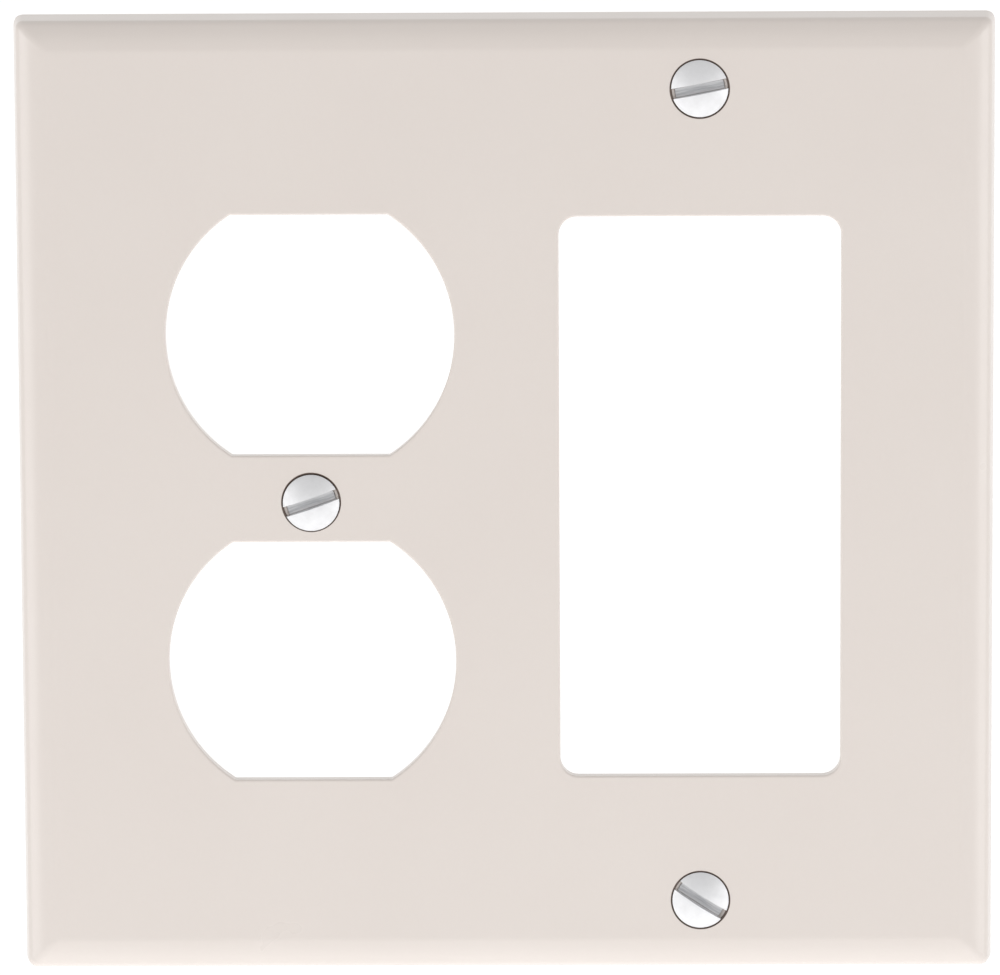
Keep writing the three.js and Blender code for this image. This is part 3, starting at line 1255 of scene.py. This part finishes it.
@dataclass
class OvalHeadScrew:
    """A slotted oval-head machine screw with its rolled thread.

    Attributes:
        place: Where it goes.
        length: From the rim of the head to the tip.
        head: Radius of the head.
        crown: Height of the crown over the rim.
        land: Depth of the head's straight edge.
        cone: Angle between the cone under the head and the screw's axis, in degrees.
        slot_width: Width of the slot.
        slot_depth: Depth of the slot from the top of the crown.
        slot_ease: How far the slot's edges are rounded.
        pitch: From one thread to the next.
        crest: Radius of the thread's crests.
        root: Radius of the thread's roots.
        neck: Plain length between head and thread.
        run_out: Length over which the thread grows to its full height.
        tip_inset: How far inside the root's radius the chamfer ends at the tip.
        segments: Points round the screw.
        tooth_top: From a tooth's middle to the end of its crest, in pitches.
        tooth_brow: The same to where the crest's rounding ends.
        tooth_foot: The same to where the root's rounding starts.
        tooth_flat: The same to where the root is flat.
        finish: What it is made of.
    """

    place: ScrewPlace
    length: float = 12.7
    head: float = HEAD_RADIUS
    crown: float = 0.95
    land: float = HEAD_LAND
    cone: float = CONE_ANGLE
    slot_width: float = 1.2
    slot_depth: float = 1.5
    slot_ease: float = 0.07
    pitch: float = INCH / 32
    crest: float = 1.72
    root: float = 1.72 - 0.55 * INCH / 32
    neck: float = 0.6
    run_out: float = 0.6
    tip_inset: float = 0.06
    segments: int = ROUND_STEPS
    tooth_top: float = 0.045
    tooth_brow: float = 0.09
    tooth_foot: float = 0.36
    tooth_flat: float = 0.41
    finish: TurnedSteel = field(default_factory=TurnedSteel)

    @property
    def crown_radius(self) -> float:
        """Radius of the sphere that the crown is part of."""
        return (self.head**2 + self.crown**2) / (2 * self.crown)

    @property
    def cone_end(self) -> float:
        """Depth under the rim where the cone has come down to the root's radius."""
        return self.land + (self.head - self.root) / math.tan(math.radians(self.cone))

    def head_rings(self) -> np.ndarray:
        """Rings of the head from near the crown's top to the neck.

        Ring j stands at the profile's radius j and depth j: a sphere's arc,
        an eased rim, the straight land and the cone under it.

        Returns:
            Rings of points about the screw's own axis, in millimetres.
        """
        sphere = self.crown_radius
        reach = math.asin(self.head / sphere)
        angle = np.linspace(0.01, reach - 0.012, 22)
        arc = np.stack([sphere * np.sin(angle), sphere - self.crown - sphere * np.cos(angle)], axis=1)
        side = rounded_profile(
            [
                (arc[-1, 0], arc[-1, 1], 0),
                (self.head, 0, 0.02),
                (self.head, self.land, 0.02),
                (self.root, self.cone_end, 0.1),
                (self.root, self.cone_end + self.neck * 0.5, 0),
            ],
            15.0,
        )
        profile = np.concatenate([arc, side[1:]])
        return Outline.circle(0, 0, 0, self.segments).carry(profile)

    def thread_rings(self) -> np.ndarray:
        """Rings of the thread, which climb one pitch in each turn.

        Place i of ring j has the depth of ring j plus the share of a pitch
        that its angle is of a turn, held between the thread's two ends. Its
        radius is the root's plus the tooth's height there, which grows over
        the run-out and is cut back by the chamfer at the tip.

        Returns:
            Rings of points about the screw's own axis, in millimetres.
        """
        start = self.cone_end + self.neck
        flank = [(self.tooth_top, 1.0), (self.tooth_brow, 0.90)]
        flank += [(self.tooth_foot, 0.05), (self.tooth_flat, 0.0)]
        rise = [(-place, height) for place, height in reversed(flank)]
        tooth = np.array([(-0.5, 0.0), *rise, *flank])
        turns = math.ceil((self.length - start) / self.pitch) + 2
        phase = (np.arange(-1, turns)[:, None] + tooth[None, :, 0]).ravel()
        height = np.tile(tooth[:, 1], turns + 1)
        angle = np.arange(self.segments + 1) / self.segments
        depth = start + (phase[:, None] + angle[None, :]) * self.pitch
        held = np.clip(depth, start, self.length)
        grown = np.clip((held - start) / self.run_out, 0, 1)
        radius = self.root + (self.crest - self.root) * height[:, None] * grown
        radius = np.minimum(radius, self.root - self.tip_inset + (self.length - held))
        turn = -2 * np.pi * angle[None, :]
        return np.stack([radius * np.cos(turn), held, radius * np.sin(turn)], axis=-1)

    def slot_cutter(self) -> bpy.types.Mesh:
        """The solid that cuts the slot, flared where it leaves the crown.

        Along the slot, place i lies at an even share of the head's width.
        The upper rings follow the crown's sphere there, pushed off it by
        their own rise, and the lower rings lie on the slot's flat floor.

        Returns:
            The cutter as a closed mesh.
        """
        half, ease = self.slot_width / 2, self.slot_ease
        floor = self.slot_depth - self.crown
        along = np.linspace(-1.15, 1.15, 41) * self.head
        sphere = self.crown_radius
        surface = sphere - self.crown - np.sqrt(np.maximum(sphere**2 - along**2, 0.1))
        outside = [(half + 0.9 * ease + 0.8, -1.2), (half + ease, -0.02)]
        flare = [(half + 0.45 * ease, 0.25 * ease), (half + 0.1 * ease, 0.7 * ease)]
        sway = np.array([*outside, *flare, (half, 1.4 * ease)])
        upper = surface[None, :] + sway[:, 1, None]
        lower = np.full((2, len(along)), floor)
        lower[0] -= 0.12
        width = np.concatenate([sway[:, 0], [half, half - 0.12]])
        depth = np.concatenate([upper, lower])
        x = np.concatenate([width, -width[::-1]])
        y = np.concatenate([depth, depth[::-1]])
        spread = [np.broadcast_to(along, y.shape), y, np.broadcast_to(x[:, None], y.shape)]
        rings = np.stack(spread, axis=-1)
        return Shell().capped(np.swapaxes(rings, 0, 1), "slot_cutter")

    def build(self) -> bpy.types.Object:
        """Builds the screw, cuts its slot, stands it in its hole and dresses it."""
        shell = Shell()
        head = shell.strip(self.head_rings())
        shell.faces.append(head[:1])
        thread = self.thread_rings()
        grid = shell.add(thread)
        quads = np.stack([grid[:-1, :-1], grid[:-1, 1:], grid[1:, 1:], grid[1:, :-1]], axis=-1)
        shell.faces.append(quads.reshape(-1, 4))
        first = np.roll(grid[0, :-1][::-1], 1)
        joint = np.stack([head[-1], np.roll(head[-1], -1), np.roll(first, -1), first], axis=-1)
        shell.faces.append(joint)
        shell.faces.append(grid[-1:, :-1])
        mesh = combined(shell.mesh("screw"), [self.slot_cutter()], Cut.REMOVE)
        turn = Matrix.Rotation(math.radians(-self.place.slot_turn), 4, "Y")
        seat = Vector((self.place.x, FACE_Y, self.place.z - self.place.sag)) * MM
        mesh.transform(Matrix.Translation(seat) @ turn)
        name = f"{self.place.name}_screw"
        made = piece(f"{name}_turned", mesh, name, name, 35)
        axis = (self.place.x * MM, (self.place.z - self.place.sag) * MM)
        dress(made, self.finish.material(f"{name}_plating", axis, self.place.slot_turn))
        return made


@dataclass
class RetainingWasher:
    """The thin nylon washer that keeps a screw in its hole.

    Attributes:
        place: The screw it sits on.
        radius: Outer radius.
        bore: Radius of the bore.
        thickness: Thickness.
        wall_gap: From the washer to the wall plane.
        edge: Radius of its edges.
        finish: What it is made of.
    """

    place: ScrewPlace
    radius: float = 4.0
    bore: float = 1.78
    thickness: float = 0.6
    wall_gap: float = 0.1
    edge: float = 0.14
    finish: NaturalNylon = field(default_factory=NaturalNylon)

    def build(self) -> bpy.types.Object:
        """Builds the washer as a profile turned about the screw's axis."""
        rear = -self.wall_gap
        front = rear - self.thickness
        middle = (self.radius + self.bore) / 2
        profile = rounded_profile(
            [
                (middle, front, 0),
                (self.radius, front, self.edge),
                (self.radius, rear, self.edge),
                (self.bore, rear, 0.08),
                (self.bore, front, 0.08),
                (middle, front, 0),
            ],
            15.0,
        )
        circle = Outline.circle(self.place.x, self.place.z - self.place.sag, 0, ROUND_STEPS)
        shell = Shell()
        shell.strip(circle.carry(profile))
        name = f"{self.place.name}_washer"
        made = piece(f"{name}_moulded", shell.mesh(name), name, name, 45)
        dress(made, self.finish.material(f"{name}_nylon"))
        return made


# ------------------------------------------------------------------ studio


@dataclass
class Studio:
    """Pale floor, soft light and the camera.

    Attributes:
        lens: Focal length in millimetres on a 36 mm sensor.
        position: Place of the camera in metres.
        turn: Rotation vector in degrees, from looking along +Y.
        floor_drop: From the middle of the plate down to the floor, in metres.
        floor_size: Length of the floor's sides, in metres.
        floor_glow: Light that the floor gives off by itself.
        sky_front: Brightness of the room in front of the plate.
        sky_behind: Brightness of the room behind the plate.
        box_size: Width and height of each soft box, in metres.
        box_reach: From the plate to each soft box, in metres.
        box_turn: How far to each side of the plate's front a box stands, in degrees.
        box_power: Power of each soft box, in watts.
        glow_size: Side of the soft box on the floor, in metres.
        glow_power: Power of the soft box on the floor, in watts.
    """

    lens: float = 234.0
    position: tuple[float, float, float] = (0.0096, -0.7676, 0.1033)
    turn: tuple[float, float, float] = (-7.625, 0.24, 0.75)
    floor_drop: float = 0.30
    floor_size: float = 16.0
    floor_glow: float = 0.35
    sky_front: float = 0.55
    sky_behind: float = 1.1
    box_size: tuple[float, float] = (0.35, 0.7)
    box_reach: float = 0.9
    box_turn: float = 60.0
    box_power: float = 2.2
    glow_size: float = 0.6
    glow_power: float = 0.65

    def camera(self) -> None:
        """Puts the camera in place and makes it the scene's."""
        data = bpy.data.cameras.new("camera")
        data.lens = self.lens
        data.sensor_width = 36.0
        data.clip_start = 0.01
        data.clip_end = 100.0
        camera = bpy.data.objects.new("camera", data)
        bpy.context.scene.collection.objects.link(camera)
        turn = Vector([math.radians(part) for part in self.turn])
        rest = Matrix(((1, 0, 0), (0, 0, -1), (0, 1, 0)))
        look = Matrix.Rotation(turn.length, 3, turn.normalized()) @ rest
        camera.matrix_world = Matrix.Translation(self.position) @ look.to_4x4()
        bpy.context.scene.camera = camera

    def floor(self) -> None:
        """Lays the pale floor."""
        half = self.floor_size / 2
        mesh = bpy.data.meshes.new("floor")
        plan = [(-half, -half), (half, -half), (half, half), (-half, half)]
        corners = [(x, y, -self.floor_drop) for x, y in plan]
        mesh.from_pydata(corners, [], [(0, 1, 2, 3)])
        floor = bpy.data.objects.new("floor", mesh)
        bpy.context.scene.collection.objects.link(floor)
        nodes = Nodes("pale_floor")
        nodes.shader.inputs["Base Color"].default_value = (0.85, 0.85, 0.85, 1)
        nodes.shader.inputs["Roughness"].default_value = 0.9
        nodes.shader.inputs["Emission Color"].default_value = (1.0, 1.0, 0.99, 1)
        nodes.shader.inputs["Emission Strength"].default_value = self.floor_glow
        mesh.materials.append(nodes.material)

    def sky(self) -> None:
        """Surrounds the object with soft light, stronger behind the plate."""
        world = bpy.data.worlds.new("soft_room")
        bpy.context.scene.world = world
        world.use_nodes = True
        tree = world.node_tree
        background = tree.nodes["Background"]
        background.inputs["Color"].default_value = (1.0, 0.997, 0.99, 1)
        source = tree.nodes.new("ShaderNodeTexCoord")
        split = tree.nodes.new("ShaderNodeSeparateXYZ")
        ramp = tree.nodes.new("ShaderNodeMapRange")
        ramp.inputs["From Min"].default_value = -1.0
        ramp.inputs["From Max"].default_value = 1.0
        ramp.inputs["To Min"].default_value = self.sky_front
        ramp.inputs["To Max"].default_value = self.sky_behind
        tree.links.new(source.outputs["Generated"], split.inputs[0])
        tree.links.new(split.outputs[1], ramp.inputs["Value"])
        tree.links.new(ramp.outputs["Result"], background.inputs["Strength"])

    def soft_boxes(self) -> None:
        """Stands one soft box on each side, turned to the plate."""
        for side in (-1, 1):
            data = bpy.data.lights.new("soft_box", "AREA")
            data.shape = "RECTANGLE"
            data.size, data.size_y = self.box_size
            data.energy = self.box_power
            box = bpy.data.objects.new("soft_box", data)
            turn = math.radians(side * self.box_turn)
            away = Vector((math.sin(turn), -math.cos(turn), 0))
            facing = away.to_track_quat("Z", "Y").to_matrix().to_4x4()
            box.matrix_world = Matrix.Translation(away * self.box_reach) @ facing
            box.visible_camera = False
            bpy.context.scene.collection.objects.link(box)

    def glow(self) -> None:
        """Lays one soft box on the floor under the plate, turned up."""
        data = bpy.data.lights.new("floor_box", "AREA")
        data.shape = "SQUARE"
        data.size = self.glow_size
        data.energy = self.glow_power
        box = bpy.data.objects.new("floor_box", data)
        rest = Matrix.Translation((0, -self.glow_size / 4, 0.01 - self.floor_drop))
        box.matrix_world = rest @ Matrix.Rotation(math.pi, 4, "X")
        box.visible_camera = False
        bpy.context.scene.collection.objects.link(box)

    def build(self) -> None:
        """Sets up the whole studio."""
        bpy.context.scene.view_settings.view_transform = "Standard"
        self.camera()
        self.floor()
        self.sky()
        self.soft_boxes()
        self.glow()


def main() -> None:
    """Builds the studio and every piece, and reports each."""
    logging.basicConfig(level=logging.INFO, format="%(message)s")
    Studio().build()
    parts = [Faceplate(), *(OvalHeadScrew(place) for place in SCREW_PLACES)]
    parts += [RetainingWasher(place) for place in SCREW_PLACES]
    for part in parts:
        log.info("built %s", part.build().name)


if __name__ == "__main__":
    main()
